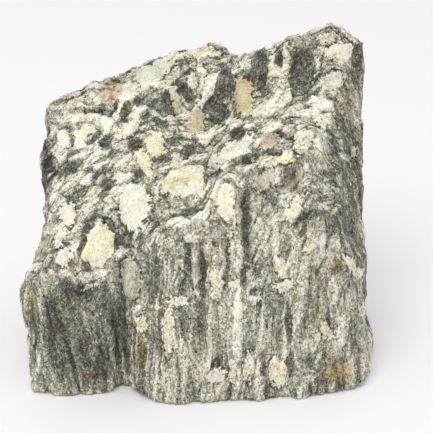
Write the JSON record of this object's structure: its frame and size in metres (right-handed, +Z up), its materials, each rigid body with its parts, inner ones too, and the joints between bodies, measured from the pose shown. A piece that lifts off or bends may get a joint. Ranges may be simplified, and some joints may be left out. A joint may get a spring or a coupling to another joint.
{
  "type": "mica rock",
  "caption": "Hand-sized block of mica-rich augen gneiss with fluted upright sides and a sloping broken top of pale eyes in dark mica, standing on its flat foot.",
  "frame": {"origin": "middle of the object's box, on the plane that the foot rests on", "axes": "+Z up; X along the longest side, with the high corner at +X; the front with the notch faces -Y"},
  "size_m": [0.1512, 0.1076, 0.1401],
  "materials": {
    "stone": "dull broken stone, grey and cream speckled with dark mica, with a faint sheen on the mica"
  },
  "bodies": {
    "root": {"rock": "stone"}
  },
  "joints": []
}
